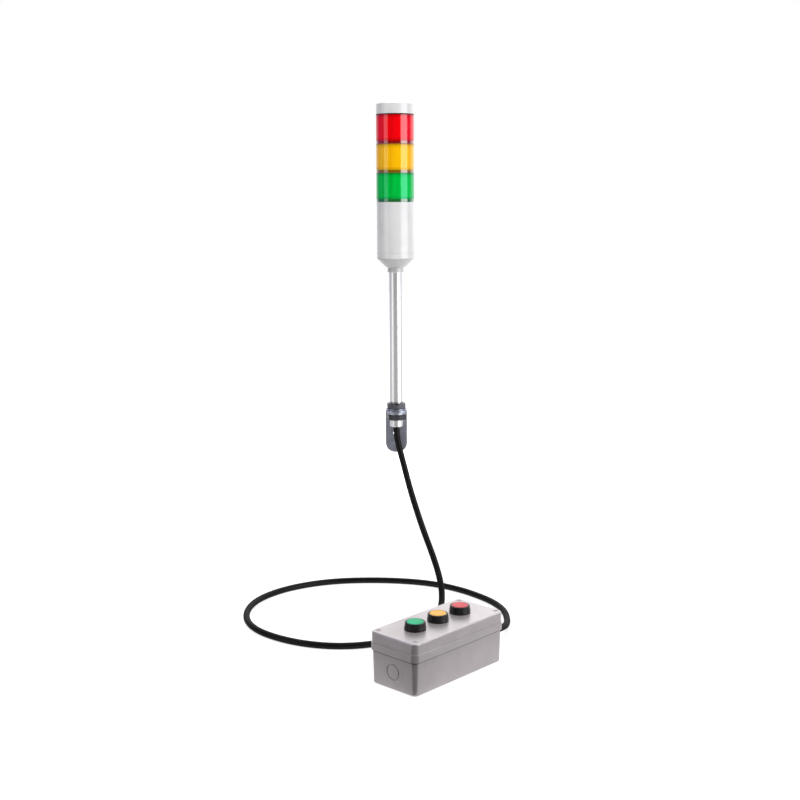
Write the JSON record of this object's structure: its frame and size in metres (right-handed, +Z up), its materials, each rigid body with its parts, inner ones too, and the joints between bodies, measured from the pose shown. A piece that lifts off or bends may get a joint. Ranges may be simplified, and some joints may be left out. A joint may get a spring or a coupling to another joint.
{
  "type": "stack light",
  "caption": "Round stack light with red, amber and green lens tiers on a metal pole, held by nuts in an angle bracket, wired by a black cord to a grey push-button box.",
  "frame": {"origin": "centre of the bracket's fixing hole, on the leg's rear face, which lies against the wall", "axes": "+Z up along the pole, +Y into the wall, -Y to the front, +X to the right seen from the front"},
  "size_m": [0.3994, 0.4728, 0.7621],
  "materials": {
    "cap_white": "satin moulded",
    "body_white": "satin moulded",
    "lens_red": "clear tinted moulding",
    "lens_amber": "clear tinted moulding",
    "lens_green": "clear tinted moulding",
    "seal_black": "matt",
    "board": "solder-resist",
    "diffuser": "frosted",
    "zinc": "zinc plated",
    "bracket_plate": "blue zinc plated",
    "nut_dark": "dark plated",
    "pole_metal": "drawn, satin",
    "terminal": "moulded",
    "wire": "insulated",
    "cord_black": "smooth sheath",
    "gland_black": "moulded",
    "box_grey": "moulded, satin",
    "screw_grey": "moulded",
    "button_green": "satin",
    "button_amber": "satin",
    "button_red": "satin",
    "bezel_black": "satin",
    "spring_steel": "drawn wire",
    "contact_grey": "moulded"
  },
  "bodies": {
    "root": {"bracket": "bracket_plate", "pole": "pole_metal", "upper_nut": "nut_dark", "lower_nut": "nut_dark", "flat_washer": "zinc", "lock_washer": "zinc", "lower_holder": "body_white", "pole_grub_screw": "zinc", "body_shell": "body_white", "lens_seals": "seal_black", "tie_rods": "zinc", "clamp_plate": "zinc", "tie_rod_nuts": "zinc", "top_cap": "cap_white", "control_board": "board", "terminal_block": "terminal", "core_wires": "wire", "cord_grommet": "seal_black", "cord": "cord_black", "box_base": "box_grey", "box_lid": "box_grey", "lid_gasket": "seal_black", "lid_screws": "screw_grey", "gland_body": "gland_black", "gland_cap_nut": "gland_black", "gland_seal": "seal_black", "gland_locknut": "gland_black", "button_seals": "seal_black", "button_ring_nuts": "contact_grey", "green_lens": "lens_green", "green_led_board": "board", "green_diffuser": "diffuser", "green_return_spring": "spring_steel", "green_bezel": "bezel_black", "green_contact_block": "contact_grey", "amber_lens": "lens_amber", "amber_led_board": "board", "amber_diffuser": "diffuser", "amber_return_spring": "spring_steel", "amber_bezel": "bezel_black", "amber_contact_block": "contact_grey", "red_lens": "lens_red", "red_led_board": "board", "red_diffuser": "diffuser", "red_return_spring": "spring_steel", "red_bezel": "bezel_black", "red_contact_block": "contact_grey"},
    "green_button": {"green_button_cap": "button_green", "green_plunger": "contact_grey", "green_plunger_clip": "spring_steel"},
    "amber_button": {"amber_button_cap": "button_amber", "amber_plunger": "contact_grey", "amber_plunger_clip": "spring_steel"},
    "red_button": {"red_button_cap": "button_red", "red_plunger": "contact_grey", "red_plunger_clip": "spring_steel"}
  },
  "joints": [
    {"name": "green_button_press", "type": "slide", "parent": "root", "child": "green_button", "axis": [0, 0, -1], "range_m": [0, 0.004], "stiffness_N_per_m": 600, "springref_m": -0.002, "deforming": ["green_return_spring"]},
    {"name": "amber_button_press", "type": "slide", "parent": "root", "child": "amber_button", "axis": [0, 0, -1], "range_m": [0, 0.004], "stiffness_N_per_m": 600, "springref_m": -0.002, "deforming": ["amber_return_spring"]},
    {"name": "red_button_press", "type": "slide", "parent": "root", "child": "red_button", "axis": [0, 0, -1], "range_m": [0, 0.004], "stiffness_N_per_m": 600, "springref_m": -0.002, "deforming": ["red_return_spring"]}
  ]
}
